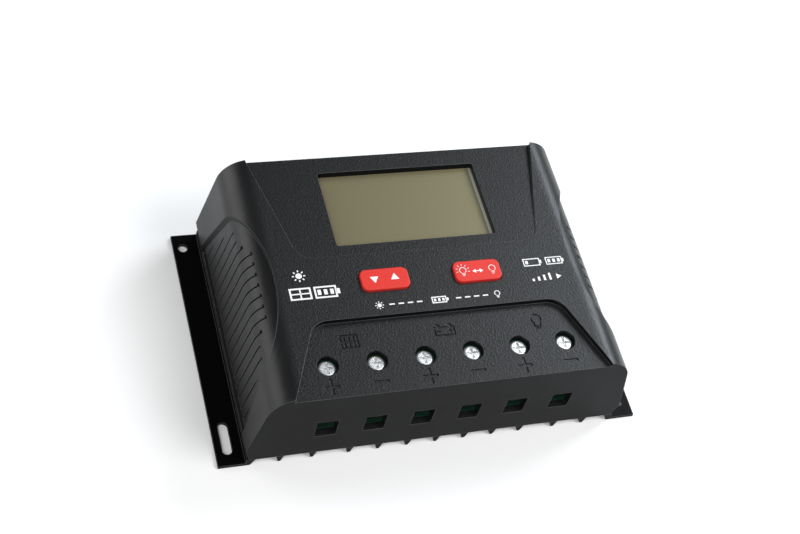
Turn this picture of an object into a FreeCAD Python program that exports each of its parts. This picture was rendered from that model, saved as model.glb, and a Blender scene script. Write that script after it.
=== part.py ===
import FreeCAD, Part
import math
import os

V = FreeCAD.Vector

# Charge controller with a finned base, a moulded upper housing and six cable terminals.
# Driving dimensions in millimetres. X runs right, Y runs back from the front edge and
# Z runs up from the plane that the two mounting flanges rest on.
WIDTH = 188.0
DEPTH = 119.2

FLANGE_T = 1.5
FOLD_X = 82.5
PLATE_BOTTOM = 4.2
PLATE_TOP = 7.6
PLATE_HALF = 79.9
FIN_X = (12.84, 25.7, 38.5, 54.5, 68.4)
FIN_ROOT = 3.2
FIN_TIP = 1.2
FIN_TIP_Z = 0.3
MOUNT_R = 2.1
REAR_HOLE = (89.7, 111.9)
SLOT_X = 88.9
SLOT_Y0 = 5.2
SLOT_Y1 = 20.4

HOUSING_BACK = 118.0
WALL = 3.2
ROOF = 2.4
WAIST_X = 83.6
WAIST_Z = 11.7
FOOT_X = 81.5
SIDE_LEAN = 0.205
SHOULDER_R = 14.0
DECK_FRONT_Z = 48.76
DECK_SLOPE = 0.038
DECK_TILT = math.degrees(math.atan(DECK_SLOPE))

TERMINAL_SUNK = 2.5
TERMINAL_BACK_Y = 34.2
TERMINAL_FRONT_HALF = 68.0
TERMINAL_BACK_HALF = 53.8
TERMINAL_CORNER_R = 9.0

SCREEN_Z = 51.1
SCREEN_FRONT_Y = 64.9
SCREEN_FRONT_HALF = 53.0
SCREEN_BACK_HALF = 66.1
SCREEN_CORNER_R = 8.0
WINDOW_HALF = 35.8
WINDOW_Y = (70.0, 109.5)

SCOOP_R = 72.0
SCOOP_X = 137.2
SCOOP_Y = 56.4
SCOOP_DEPTH = 1.5
SCOOP_FLOOR_Z = 9.0
SLIT_PITCH = 5.2
SLIT_WIDTH = 0.8
SLIT_DEPTH = 0.9
SLIT_FLOOR_Z = 11.5
SLIT_END_X = (71.1, 71.1, 71.1, 71.1, 73.8, 75.2, 75.4, 77.6, 80.2)
SLIT_HOOKS = 5
SLIT_HOOK = 1.3

POLES = 6
POLE_PITCH = 20.62
SCREW_Y = 15.0
WELL_R = 4.45
ENTRY_HALF = 4.55
ENTRY_Z = (17.3, 28.2)

KEY_X = (-19.6, 21.4)
KEY_Y = 51.05
KEY_HALF = (10.8, 5.45)
KEY_CORNER_R = 3.2
KEY_GAP = 0.35
KEY_PROUD = 1.3

BOARD_Z = 13.2
BOARD_T = 1.6
BOARD_TOP = BOARD_Z + BOARD_T
DISPLAY_Z = 39.9
DISPLAY_TOP = DISPLAY_Z + BOARD_T
BOSS_X = 61.5
BOSS_Y = (32.0, 108.0)
BOSS_R = 3.6
POST_X = 50.0
POST_Y = (46.0, 107.5)
STANDOFF_X = 69.0
STANDOFF_Y = (12.0, 104.0)


def box(x0, x1, y0, y1, z0, z1):
    return Part.makeBox(x1 - x0, y1 - y0, z1 - z0, V(x0, y0, z0))


def rod(x, y, z0, z1, r):
    return Part.makeCylinder(r, z1 - z0, V(x, y, z0))


def extruded_profile(points, y0, y1):
    """Solid from an outline in X and Z, drawn along Y."""
    wire = Part.makePolygon([V(x, y0, z) for x, z in points + points[:1]])
    return Part.Face(wire).extrude(V(0, y1 - y0, 0))


def rounded_outline(points, radii, z):
    """Closed wire in a level plane, each corner rounded by its own radius."""
    count = len(points)
    edges = []
    tangents = []
    for i in range(count):
        corner = V(*points[i], z)
        before = V(*points[i - 1], z) - corner
        after = V(*points[(i + 1) % count], z) - corner
        before.normalize()
        after.normalize()
        r = radii[i]
        if r <= 0:
            tangents.append((corner, corner, corner))
            continue
        half = before.getAngle(after) / 2.0
        reach = r / math.tan(half)
        inward = before + after
        inward.normalize()
        middle = corner + inward * (r / math.sin(half) - r)
        tangents.append((corner + before * reach, middle, corner + after * reach))
    for i in range(count):
        start, middle, end = tangents[i]
        if (end - start).Length > 1e-6:
            edges.append(Part.Arc(start, middle, end).toShape())
        following = tangents[(i + 1) % count][0]
        if (following - end).Length > 1e-6:
            edges.append(Part.LineSegment(end, following).toShape())
    return Part.Wire(edges)


def slab(points, radii, z0, z1):
    return Part.Face(rounded_outline(points, radii, z0)).extrude(V(0, 0, z1 - z0))


def rectangle(half_x, half_y, x=0.0, y=0.0):
    x0, x1 = x - half_x, x + half_x
    y0, y1 = y - half_y, y + half_y
    return [(x0, y0), (x1, y0), (x1, y1), (x0, y1)]


def deck_z(y):
    return DECK_FRONT_Z + DECK_SLOPE * y


def square_to_deck(shape, x, y):
    """Moves a piece made about the origin onto the deck at x, y, square to its slope."""
    turned = shape.copy()
    turned.rotate(V(0, 0, 0), V(1, 0, 0), DECK_TILT)
    turned.translate(V(x, y, deck_z(y)))
    return turned


def sloping_slab(outline, radii, below, above):
    """Level-sided slab whose two faces lie parallel to the sloping deck."""
    tall = slab(outline, radii, 0.0, 80.0)
    far = 400.0
    floor_z0 = DECK_FRONT_Z - below - DECK_SLOPE * far
    floor_z1 = DECK_FRONT_Z - below + DECK_SLOPE * far
    wedge = Part.Face(Part.makePolygon([
        V(-200, -far, floor_z0),
        V(-200, far, floor_z1),
        V(-200, far, floor_z1 + below + above),
        V(-200, -far, floor_z0 + below + above),
        V(-200, -far, floor_z0)])).extrude(V(400, 0, 0))
    return tall.common(wedge)


def mirrored(shape):
    return shape.mirror(V(0, 0, 0), V(1, 0, 0))


def cross_recess(x, y, top, size, depth):
    """Driver recess of a combination head: a cross with one long slot."""
    arm = size * 0.17
    cross = box(x - size, x + size, y - arm, y + arm, top - depth, top + 1)
    cross = cross.fuse(box(x - arm, x + arm, y - size, y + size, top - depth, top + 1))
    return cross.common(Part.makeCone(size * 0.45, size * 1.1, depth + 1, V(x, y, top - depth)))


def pan_screw(x, y, seat, head_r, head_h, shank_r, tip_z, size):
    """Pan-head screw standing on its seat, shank downwards."""
    head = rod(x, y, seat, seat + head_h, head_r)
    rim = [e for e in head.Edges if abs(e.BoundBox.ZMin - seat - head_h) < 1e-6]
    head = head.makeFillet(head_h * 0.45, rim)
    head = head.cut(cross_recess(x, y, seat + head_h, size, head_h * 0.62))
    return head.fuse(rod(x, y, tip_z, seat, shank_r)).removeSplitter()


def pole_x(i):
    return (i - (POLES - 1) / 2.0) * POLE_PITCH


def place_and_save(name, shape):
    """Writes one node with the middle of the depth moved to the origin."""
    moved = shape.copy()
    moved.translate(V(0, -DEPTH / 2.0, 0))
    moved.exportStep("parts/" + name + ".step")


# Finned base: one aluminium extrusion with two flanges, cut to length and drilled.

def flange_cutters():
    cutters = []
    for side in (-1, 1):
        cutters.append(rod(side * REAR_HOLE[0], REAR_HOLE[1], -1, 3, MOUNT_R))
        x = side * SLOT_X
        cutters.append(rod(x, SLOT_Y0 + MOUNT_R, -1, 3, MOUNT_R))
        cutters.append(rod(x, SLOT_Y1 - MOUNT_R, -1, 3, MOUNT_R))
        cutters.append(box(x - MOUNT_R, x + MOUNT_R, SLOT_Y0 + MOUNT_R, SLOT_Y1 - MOUNT_R, -1, 3))
    return cutters


def make_base():
    half = WIDTH / 2.0
    right = [(74.6, PLATE_BOTTOM), (75.3, 5.6), (77.6, 5.6), (78.9, 3.8), (80.7, 0.0), (half, 0.0),
             (half, FLANGE_T), (FOLD_X, FLANGE_T), (82.3, PLATE_BOTTOM), (PLATE_HALF, PLATE_BOTTOM),
             (PLATE_HALF, PLATE_TOP)]
    left = [(-x, z) for x, z in reversed(right)]
    base = extruded_profile(right + left, 0.0, DEPTH)
    for y0, y1 in ((-1.0, WALL + 0.2), (HOUSING_BACK - WALL - 0.2, DEPTH + 1.0)):
        base = base.cut(box(-PLATE_HALF, PLATE_HALF, y0, y1, PLATE_BOTTOM, PLATE_TOP + 1))
    fins = []
    for x in [0.0] + [s * f for f in FIN_X for s in (-1, 1)]:
        fins.append(extruded_profile([
            (x - FIN_ROOT / 2, PLATE_BOTTOM + 0.4), (x - FIN_ROOT / 2, PLATE_BOTTOM),
            (x - FIN_TIP / 2, FIN_TIP_Z), (x + FIN_TIP / 2, FIN_TIP_Z),
            (x + FIN_ROOT / 2, PLATE_BOTTOM), (x + FIN_ROOT / 2, PLATE_BOTTOM + 0.4)],
            WALL + 0.2, HOUSING_BACK - WALL - 0.2))
        for y0, y1 in ((0.0, WALL + 0.3), (HOUSING_BACK - WALL - 0.3, DEPTH)):
            fins.append(extruded_profile([
                (x - FIN_ROOT / 2, PLATE_BOTTOM), (x - FIN_TIP / 2, FIN_TIP_Z),
                (x + FIN_TIP / 2, FIN_TIP_Z), (x + FIN_ROOT / 2, PLATE_BOTTOM)], y0, y1))
    base = base.fuse(fins)
    cutters = flange_cutters()
    for x in (-BOSS_X, BOSS_X):
        for y in BOSS_Y:
            cutters.append(rod(x, y, 0, PLATE_TOP + 1, 1.7))
    for x in (-STANDOFF_X, STANDOFF_X):
        for y in STANDOFF_Y:
            cutters.append(rod(x, y, PLATE_TOP - 2.4, PLATE_TOP + 1, 1.5))
    for x in transistor_x():
        cutters.append(rod(x, TRANSISTOR_SCREW_Y, PLATE_TOP - 2.6, PLATE_TOP + 1, 1.5))
    return base.cut(Part.makeCompound(cutters)).removeSplitter()


# Upper housing: one thin-walled black moulding over the base.

def section(y, side_in, top_in, r):
    """Cross-section of the housing at y, moved inwards by the two amounts."""
    top = deck_z(y) - top_in
    waist = V(WAIST_X - side_in, y, WAIST_Z)
    foot = V(FOOT_X - side_in, y, PLATE_BOTTOM)
    corner_x = waist.x - SIDE_LEAN * (top - WAIST_Z)
    lean = math.atan(SIDE_LEAN)
    reach = r * math.tan((math.pi / 2 - lean) / 2)
    level = V(corner_x - reach, y, top)
    down = V(corner_x + reach * math.sin(lean), y, top - reach * math.cos(lean))
    centre = level - V(0, 0, r)
    turn = (math.pi / 2 + lean) / 2
    middle = centre + V(r * math.cos(turn), 0, r * math.sin(turn))

    def flip(p):
        return V(-p.x, p.y, p.z)

    return Part.Wire([
        Part.LineSegment(flip(foot), foot).toShape(),
        Part.LineSegment(foot, waist).toShape(),
        Part.LineSegment(waist, down).toShape(),
        Part.Arc(down, middle, level).toShape(),
        Part.LineSegment(level, flip(level)).toShape(),
        Part.Arc(flip(level), flip(middle), flip(down)).toShape(),
        Part.LineSegment(flip(down), flip(waist)).toShape(),
        Part.LineSegment(flip(waist), flip(foot)).toShape()])


def housing_form(y0, y1, side_in, top_in, r):
    return Part.makeLoft([section(y0, side_in, top_in, r), section(y1, side_in, top_in, r)], True, True)


def outside_skin(shape, depth):
    """The share of a shape that lies outside the housing's surface moved in by depth."""
    return shape.cut(housing_form(-15.0, 135.0, depth, depth, SHOULDER_R - depth))


def terminal_outline(grow):
    run = (TERMINAL_FRONT_HALF - TERMINAL_BACK_HALF) / TERMINAL_BACK_Y
    front = TERMINAL_FRONT_HALF + 10.0 * run + grow
    back = TERMINAL_BACK_HALF + grow
    y = TERMINAL_BACK_Y + grow
    return [(-front, -10.0), (front, -10.0), (back, y), (-back, y)]


def screen_outline(grow):
    run = (SCREEN_BACK_HALF - SCREEN_FRONT_HALF) / (HOUSING_BACK - SCREEN_FRONT_Y)
    back = SCREEN_BACK_HALF + 10.0 * run + grow
    front = SCREEN_FRONT_HALF + grow
    y = SCREEN_FRONT_Y - grow
    return [(-front, y), (front, y), (back, HOUSING_BACK + 10.0), (-back, HOUSING_BACK + 10.0)]


def window_outline(grow):
    y0, y1 = WINDOW_Y
    return rectangle(WINDOW_HALF + grow, (y1 - y0) / 2 + grow, 0.0, (y0 + y1) / 2)


def scoop():
    """Shallow hollow in the right side and shoulder, an arc as seen from above."""
    drum = rod(SCOOP_X, SCOOP_Y, SCOOP_FLOOR_Z, 70.0, SCOOP_R)
    return outside_skin(drum, SCOOP_DEPTH)


def side_slits():
    """Narrow cuts across the scoop's floor; the middle ones end in a small hook."""
    blades = []
    reach = len(SLIT_END_X) - 1
    for i in range(-reach, reach + 1):
        y = SCOOP_Y + i * SLIT_PITCH
        x = SLIT_END_X[abs(i)]
        blade = box(x, 95.0, y - SLIT_WIDTH / 2, y + SLIT_WIDTH / 2, SLIT_FLOOR_Z, 60.0)
        if abs(i) < SLIT_HOOKS:
            hook = box(x, x + SLIT_WIDTH, y, y + SLIT_HOOK, 40.0, 60.0)
            blade = blade.fuse(hook).removeSplitter()
        blades.append(blade)
    return outside_skin(Part.makeCompound(blades), SCOOP_DEPTH + SLIT_DEPTH)


# Marks sunk into the terminal panel: a panel grid, a battery, a lamp, plus and minus.
MARK_DEPTH = 0.4
MARK_LINE = 0.75
SIGN_HALF = 0.6


def bar(x0, x1, y0, y1):
    return box(min(x0, x1), max(x0, x1), min(y0, y1), max(y0, y1), 0.0, 80.0)


def frame_bars(x0, x1, y0, y1):
    t = MARK_LINE
    level = [bar(x0, x1, y0, y0 + t), bar(x0, x1, y1 - t, y1)]
    return level + [bar(x0, x0 + t, y0, y1), bar(x1 - t, x1, y0, y1)]


def grid_mark(x, y):
    half_x = 3.9
    half_y = 3.3
    bars = frame_bars(x - half_x, x + half_x, y - half_y, y + half_y)
    for i in (-1, 0, 1):
        middle = x + i * half_x / 2
        bars.append(bar(middle - MARK_LINE / 2, middle + MARK_LINE / 2, y - half_y, y + half_y))
    bars.append(bar(x - half_x, x + half_x, y - MARK_LINE / 2, y + MARK_LINE / 2))
    return bars


def battery_mark(x, y):
    bars = frame_bars(x - 4.6, x + 4.6, y - 2.6, y + 2.0)
    for side in (-1, 1):
        bars.append(bar(x + side * 2.7 - 0.8, x + side * 2.7 + 0.8, y + 2.0, y + 3.2))
        bars.append(bar(x + side * 2.5 - 0.9, x + side * 2.5 + 0.9, y - 0.5, y))
    bars.append(bar(x + 2.25, x + 2.75, y - 1.2, y + 0.7))
    return bars


def lamp_mark(x, y):
    ring = rod(x, y + 1.2, 0.0, 80.0, 2.5).cut(rod(x, y + 1.2, -1.0, 81.0, 2.5 - MARK_LINE))
    bars = [ring.cut(box(x - 1.1, x + 1.1, y - 3.0, y + 0.2, -1.0, 81.0))]
    for side in (-1, 1):
        bars.append(bar(x + side * 1.3 - 0.35, x + side * 1.3 + 0.35, y - 2.2, y - 0.8))
    bars.append(bar(x - 1.6, x + 1.6, y - 2.8, y - 2.1))
    bars.append(bar(x - 1.0, x + 1.0, y - 3.6, y - 3.1))
    return bars


def sign_mark(x, y, plus):
    bars = [bar(x - 3.2, x + 3.2, y - SIGN_HALF, y + SIGN_HALF)]
    if plus:
        bars.append(bar(x - SIGN_HALF, x + SIGN_HALF, y - 3.6, y - SIGN_HALF))
        bars.append(bar(x - SIGN_HALF, x + SIGN_HALF, y + SIGN_HALF, y + 3.6))
    return bars


def panel_marks():
    upright = grid_mark(-40.4, 25.0) + battery_mark(0.6, 25.6) + lamp_mark(41.6, 25.4)
    for i in range(POLES):
        upright += sign_mark(pole_x(i) - 0.4, 5.3, i % 2 == 0)
    band = sloping_slab(rectangle(70.0, 20.0, 0.0, 16.0), [0, 0, 0, 0], TERMINAL_SUNK + MARK_DEPTH, 1.0)
    return Part.makeCompound([mark.common(band) for mark in upright])


def make_housing():
    outer = housing_form(0.0, HOUSING_BACK, 0.0, 0.0, SHOULDER_R)
    corners = [0, 0, TERMINAL_CORNER_R, TERMINAL_CORNER_R]
    outer = outer.cut(sloping_slab(terminal_outline(0.0), corners, TERMINAL_SUNK, 5.0))
    screen_corners = [SCREEN_CORNER_R, SCREEN_CORNER_R, 0, 0]
    outer = outer.cut(slab(screen_outline(0.0), screen_corners, SCREEN_Z, 70.0))
    right_scoop = scoop()
    slits = side_slits()
    outer = outer.cut([right_scoop, mirrored(right_scoop)])
    outer = outer.cut([slits, mirrored(slits)])

    cavity = housing_form(WALL, HOUSING_BACK - WALL, WALL, ROOF, SHOULDER_R)
    room_half = PLATE_HALF + 0.1
    plate_room = box(-room_half, room_half, WALL, HOUSING_BACK - WALL, PLATE_BOTTOM - 1, PLATE_TOP)
    cavity = cavity.fuse(plate_room)
    cavity = cavity.cut(sloping_slab(terminal_outline(2.2), corners, TERMINAL_SUNK + 2.3, 5.0))
    cavity = cavity.cut(slab(screen_outline(2.2), screen_corners, SCREEN_Z - 2.3, 70.0))
    rim = slab(window_outline(1.8), [1.5] * 4, LCD_TOP + 0.2, SCREEN_Z)
    cavity = cavity.cut(rim)
    posts = []
    for side in (-1, 1):
        for y in BOSS_Y:
            posts.append(rod(side * BOSS_X, y, PLATE_TOP, SCREEN_Z - 1.0, BOSS_R))
        for y in POST_Y:
            posts.append(rod(side * POST_X, y, DISPLAY_TOP, SCREEN_Z - 1.0, 3.0))
    cavity = cavity.cut(posts)
    shell = outer.cut(cavity)

    cutters = [slab(window_outline(0.0), [1.0] * 4, LCD_TOP - 2.0, 60.0)]
    for i in range(POLES):
        x = pole_x(i)
        cutters.append(rod(x, SCREW_Y, 40.0, 60.0, WELL_R))
        cutters.append(box(x - ENTRY_HALF, x + ENTRY_HALF, -2.0, WALL + 2.0, *ENTRY_Z))
    for x in KEY_X:
        cutters.append(square_to_deck(slab(rectangle(*KEY_HALF), [KEY_CORNER_R] * 4, -8.0, 8.0), x, KEY_Y))
    for side in (-1, 1):
        for y in BOSS_Y:
            cutters.append(rod(side * BOSS_X, y, PLATE_TOP - 1, 20.0, 1.5))
        for y in POST_Y:
            cutters.append(rod(side * POST_X, y, DISPLAY_TOP - 1, 47.0, 1.2))
    shell = shell.cut(Part.makeCompound(cutters))
    return shell.cut(panel_marks()).removeSplitter()


# Screen stack, from the glass down to its board.
LCD_TOP = 47.8
LCD_T = 2.6
LCD_HALF = 38.5
LCD_Y = (67.2, 112.3)
DISPLAY_BOARD_HALF = 56.0
DISPLAY_BOARD_Y = (41.0, 113.8)
HOLDER_PEG_R = 0.8


def make_lcd_glass():
    top_plate = box(-LCD_HALF, LCD_HALF, LCD_Y[0] + 2.2, LCD_Y[1], LCD_TOP - LCD_T / 2, LCD_TOP)
    lower_plate = box(-LCD_HALF, LCD_HALF, *LCD_Y, LCD_TOP - LCD_T, LCD_TOP - LCD_T / 2)
    return top_plate.fuse(lower_plate).removeSplitter()


def make_light_guide():
    guide = box(-LCD_HALF, LCD_HALF, LCD_Y[0] + 2.6, LCD_Y[1] - 0.4, DISPLAY_TOP, LCD_TOP - LCD_T)
    y0, y1 = LCD_Y[0] + 6, LCD_Y[1] - 6
    return guide.cut(box(-LCD_HALF - 0.1, -LCD_HALF + 2.4, y0, y1, DISPLAY_TOP - 0.1, DISPLAY_TOP + 2.2))


def make_light_leds():
    leds = []
    for i in range(3):
        y = LCD_Y[0] + 12.0 + i * 10.5
        leds.append(box(-LCD_HALF + 0.2, -LCD_HALF + 2.0, y - 1.6, y + 1.6, DISPLAY_TOP, DISPLAY_TOP + 1.4))
    return Part.makeCompound(leds)


def make_contact_strip():
    return box(-LCD_HALF, LCD_HALF, LCD_Y[0], LCD_Y[0] + 2.0, DISPLAY_TOP, LCD_TOP - LCD_T)


def make_lcd_holder():
    outline = rectangle(LCD_HALF + 2.2, (LCD_Y[1] - LCD_Y[0]) / 2 + 1.6, 0.0, sum(LCD_Y) / 2)
    holder = slab(outline, [1.0] * 4, DISPLAY_TOP, LCD_TOP - 0.1)
    holder = holder.cut(box(-LCD_HALF - 0.2, LCD_HALF + 0.2, LCD_Y[0] - 0.2, LCD_Y[1] + 0.2, 40.0, 50.0))
    for side in (-1, 1):
        x = side * (LCD_HALF + 1.2)
        for y in (LCD_Y[0] + 8, LCD_Y[1] - 8):
            holder = holder.fuse(rod(x, y, DISPLAY_Z - 1.0, DISPLAY_TOP, HOLDER_PEG_R))
    return holder.removeSplitter()


def make_display_board():
    half_y = (DISPLAY_BOARD_Y[1] - DISPLAY_BOARD_Y[0]) / 2
    outline = rectangle(DISPLAY_BOARD_HALF, half_y, 0.0, DISPLAY_BOARD_Y[0] + half_y)
    board = slab(outline, [2.0] * 4, DISPLAY_Z, DISPLAY_TOP)
    holes = []
    for side in (-1, 1):
        for y in POST_Y:
            holes.append(rod(side * POST_X, y, DISPLAY_Z - 1, DISPLAY_TOP + 1, 1.3))
        for y in (LCD_Y[0] + 8, LCD_Y[1] - 8):
            holes.append(rod(side * (LCD_HALF + 1.2), y, DISPLAY_Z - 1, DISPLAY_TOP + 1, HOLDER_PEG_R))
    for row in range(2):
        for i in range(HEADER_PINS):
            holes.append(header_pin_box(row, i, DISPLAY_Z - 1, DISPLAY_TOP + 1))
    return board.cut(Part.makeCompound(holes))


def make_display_screws():
    screws = []
    for side in (-1, 1):
        for y in POST_Y:
            up = pan_screw(0, 0, 0, 2.4, 1.7, 1.2, -6.6, 1.5)
            up.rotate(V(0, 0, 0), V(1, 0, 0), 180)
            up.translate(V(side * POST_X, y, DISPLAY_Z))
            screws.append(up)
    return Part.makeCompound(screws)


# Keys: a red cap with a lip that holds it under the deck, a stem, and the plunger of its switch.

def make_key():
    half_x = KEY_HALF[0] - KEY_GAP
    half_y = KEY_HALF[1] - KEY_GAP
    cap = slab(rectangle(half_x, half_y), [KEY_CORNER_R - KEY_GAP] * 4, -2.9, KEY_PROUD)
    rim = [e for e in cap.Edges if abs(e.BoundBox.ZMin - KEY_PROUD) < 1e-6]
    cap = cap.makeFillet(0.55, rim)
    lip = slab(rectangle(half_x + 1.5, half_y + 1.5), [KEY_CORNER_R] * 4, -3.8, -ROOF - 0.3)
    hollow = slab(rectangle(half_x - 1.4, half_y - 1.4), [1.2] * 4, -5.0, KEY_PROUD - 1.6)
    stem = rod(0, 0, -4.3, KEY_PROUD - 1.5, 2.0)
    ribs = box(-half_x + 1.0, half_x - 1.0, -0.5, 0.5, -3.2, KEY_PROUD - 1.5)
    return cap.fuse(lip).cut(hollow).fuse([stem, ribs]).removeSplitter()


def make_plunger(x):
    top = deck_z(KEY_Y) - 4.45
    plunger = rod(x, KEY_Y, DISPLAY_TOP + 2.1, top, 1.7)
    return plunger.fuse(rod(x, KEY_Y, DISPLAY_TOP + 2.1, DISPLAY_TOP + 2.6, 2.1)).removeSplitter()


def make_switches():
    switches = []
    for x in KEY_X:
        body = box(x - 3.1, x + 3.1, KEY_Y - 3.1, KEY_Y + 3.1, DISPLAY_TOP, DISPLAY_TOP + 3.6)
        body = body.cut(rod(x, KEY_Y, DISPLAY_TOP + 1.1, DISPLAY_TOP + 3.1, 2.4))
        body = body.cut(rod(x, KEY_Y, DISPLAY_TOP + 1.1, DISPLAY_TOP + 4.0, 1.8))
        switches.append(body)
    return Part.makeCompound(switches)


# Terminals: six green modules side by side, each with a chamber that is open at the back for
# its rising cage, and a bent bar whose leg closes the back and goes down to the board.
BLOCK_Y = (3.6, 23.0)
BLOCK_TOP = 41.8
MODULE_HALF = POLE_PITCH / 2 - 0.05
CHAMBER_TOP = 40.0
CHAMBER_Y = (5.2, 20.3)
CAGE_HALF = 5.9
CAGE_WALL = 1.2
CAGE_Y = (6.5, 19.5)
CAGE_Z = (15.9, 31.6)
CAGE_T = 1.4
BAR_Z = (28.4, 29.9)
BAR_HALF = 4.4
BAR_LEG_Y = (23.2, 24.7)
BAR_FOOT_X = 2.6
BAR_FOOT_HALF = 1.2
TERMINAL_SHANK_R = 2.5
HEAD_R = 4.0
HEAD_H = 2.9
HEAD_RECESS = 3.1
HEAD_SEAT = BLOCK_TOP + 0.2


def make_terminal_module(x):
    """One pole's housing, open at the back above the bar's underside and holed for its screw."""
    module = box(x - MODULE_HALF, x + MODULE_HALF, *BLOCK_Y, BOARD_TOP, BLOCK_TOP)
    half = CAGE_HALF + 0.3
    chamber = box(x - half, x + half, *CHAMBER_Y, BOARD_TOP + 0.8, CHAMBER_TOP)
    entry = box(x - half, x + half, BLOCK_Y[0] - 1, CHAMBER_Y[0] + 1, ENTRY_Z[0] - 0.3, BAR_Z[0] - 0.1)
    back = box(x - half, x + half, CHAMBER_Y[1] - 1, BLOCK_Y[1] + 1, BAR_Z[0] - 0.1, CHAMBER_TOP)
    hole = rod(x, SCREW_Y, CHAMBER_TOP - 1, BLOCK_TOP + 1, TERMINAL_SHANK_R + 0.35)
    return module.cut([chamber, entry, back, hole]).removeSplitter()


def bar_foot(x, z0, z1):
    return box(x - BAR_FOOT_HALF, x + BAR_FOOT_HALF, *BAR_LEG_Y, z0, z1)


def make_contact_bars():
    bars = []
    for i in range(POLES):
        x = pole_x(i)
        level = box(x - BAR_HALF, x + BAR_HALF, CAGE_Y[0] + 0.5, BAR_LEG_Y[1], *BAR_Z)
        leg = box(x - BAR_HALF, x + BAR_HALF, *BAR_LEG_Y, BOARD_TOP, BAR_Z[1])
        feet = [bar_foot(x + s * BAR_FOOT_X, BOARD_Z - 0.9, BOARD_TOP) for s in (-1, 1)]
        bars.append(level.fuse([leg] + feet).removeSplitter())
    return Part.makeCompound(bars)


def make_cage(x):
    cage = box(x - CAGE_HALF, x + CAGE_HALF, *CAGE_Y, *CAGE_Z)
    inner = CAGE_HALF - CAGE_WALL
    z0, z1 = CAGE_Z[0] + CAGE_T, CAGE_Z[1] - CAGE_T
    cage = cage.cut(box(x - inner, x + inner, CAGE_Y[0] - 1, CAGE_Y[1] + 1, z0, z1))
    return cage.cut(rod(x, SCREW_Y, CAGE_Z[1] - CAGE_T - 1, CAGE_Z[1] + 1, TERMINAL_SHANK_R + 0.05))


def make_terminal_screw(x):
    return pan_screw(x, SCREW_Y, HEAD_SEAT, HEAD_R, HEAD_H, TERMINAL_SHANK_R, BAR_Z[1] + 0.1, HEAD_RECESS)


# Main board and the parts on it.
MAIN_BOARD_HALF = 73.0
MAIN_BOARD_Y = (4.4, 112.5)
PIN_PITCH = 2.54
PIN_HALF = 0.32
HEADER_PINS = 8
HEADER_X = -44.5
HEADER_Y = 98.0
TRANSISTOR_COUNT = 8
TRANSISTOR_PITCH = 15.2
TRANSISTOR_SCREW_Y = 62.0
TRANSISTOR_HALF = 5.1
LEAD_HALF = 0.4
LEAD_Y = (82.6, 83.1)
CAPACITOR_X = (-24.0, -4.0, 16.0, 36.0)
CAPACITOR_Y = 62.0
CAPACITOR_R = 8.0
FUSE_X = (-36.0, 0.0, 36.0)
FUSE_BLADE_X = 5.8
SHUNT_X = (-14.0, 14.0)
DIODE_X = (-30.0, -10.3, 10.3, 30.9)
DRIVER_X = (-20.0, 0.0, 20.0, 40.0)
COIL_HALF = 6.0
COIL_CENTRE = (-54.0, 66.0)
SENSOR_CENTRE = (52.0, 56.0)


def transistor_x():
    return [(i - (TRANSISTOR_COUNT - 1) / 2.0) * TRANSISTOR_PITCH for i in range(TRANSISTOR_COUNT)]


def header_pin_box(row, i, z0, z1):
    x = HEADER_X + row * PIN_PITCH
    y = HEADER_Y + (i - (HEADER_PINS - 1) / 2.0) * PIN_PITCH
    return box(x - PIN_HALF, x + PIN_HALF, y - PIN_HALF, y + PIN_HALF, z0, z1)


def make_board_header():
    half = HEADER_PINS * PIN_PITCH / 2
    x0 = HEADER_X - PIN_PITCH / 2
    x1 = HEADER_X + PIN_PITCH * 1.5
    blocks = [box(x0, x1, HEADER_Y - half, HEADER_Y + half, BOARD_TOP, BOARD_TOP + 8.5),
              box(x0, x1, HEADER_Y - half, HEADER_Y + half, DISPLAY_Z - 2.5, DISPLAY_Z)]
    pins = []
    for row in range(2):
        for i in range(HEADER_PINS):
            pins.append(header_pin_box(row, i, BOARD_Z - 1.5, DISPLAY_TOP + 1.0))
    solid = blocks[0].fuse(blocks[1:] + pins)
    return solid.removeSplitter()


def make_main_board():
    half_y = (MAIN_BOARD_Y[1] - MAIN_BOARD_Y[0]) / 2
    outline = rectangle(MAIN_BOARD_HALF, half_y, 0.0, MAIN_BOARD_Y[0] + half_y)
    board = slab(outline, [2.0] * 4, BOARD_Z, BOARD_TOP)
    holes = []
    for side in (-1, 1):
        for y in BOSS_Y:
            holes.append(rod(side * BOSS_X, y, BOARD_Z - 1, BOARD_TOP + 1, BOSS_R + 0.5))
        for y in STANDOFF_Y:
            holes.append(rod(side * STANDOFF_X, y, BOARD_Z - 1, BOARD_TOP + 1, 1.6))
    for i in range(POLES):
        for s in (-1, 1):
            holes.append(bar_foot(pole_x(i) + s * BAR_FOOT_X, BOARD_Z - 1, BOARD_TOP + 1))
    for row in range(2):
        for i in range(HEADER_PINS):
            holes.append(header_pin_box(row, i, BOARD_Z - 1, BOARD_TOP + 1))
    for x in transistor_x():
        for lead in (-1, 0, 1):
            lx = x + lead * PIN_PITCH
            holes.append(box(lx - LEAD_HALF, lx + LEAD_HALF, *LEAD_Y, BOARD_Z - 1, BOARD_TOP + 1))
    return board.cut(Part.makeCompound(holes))


def make_standoffs():
    standoffs = []
    for side in (-1, 1):
        for y in STANDOFF_Y:
            corners = []
            for k in range(7):
                turn = math.radians(60 * k)
                corners.append(V(side * STANDOFF_X + 3.2 * math.cos(turn), y + 3.2 * math.sin(turn), PLATE_TOP))
            body = Part.Face(Part.makePolygon(corners)).extrude(V(0, 0, BOARD_Z - PLATE_TOP))
            stud = rod(side * STANDOFF_X, y, PLATE_TOP - 2.4, PLATE_TOP, 1.5)
            bore = rod(side * STANDOFF_X, y, PLATE_TOP + 1.0, BOARD_Z + 1, 1.25)
            standoffs.append(body.fuse(stud).cut(bore).removeSplitter())
    return Part.makeCompound(standoffs)


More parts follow.
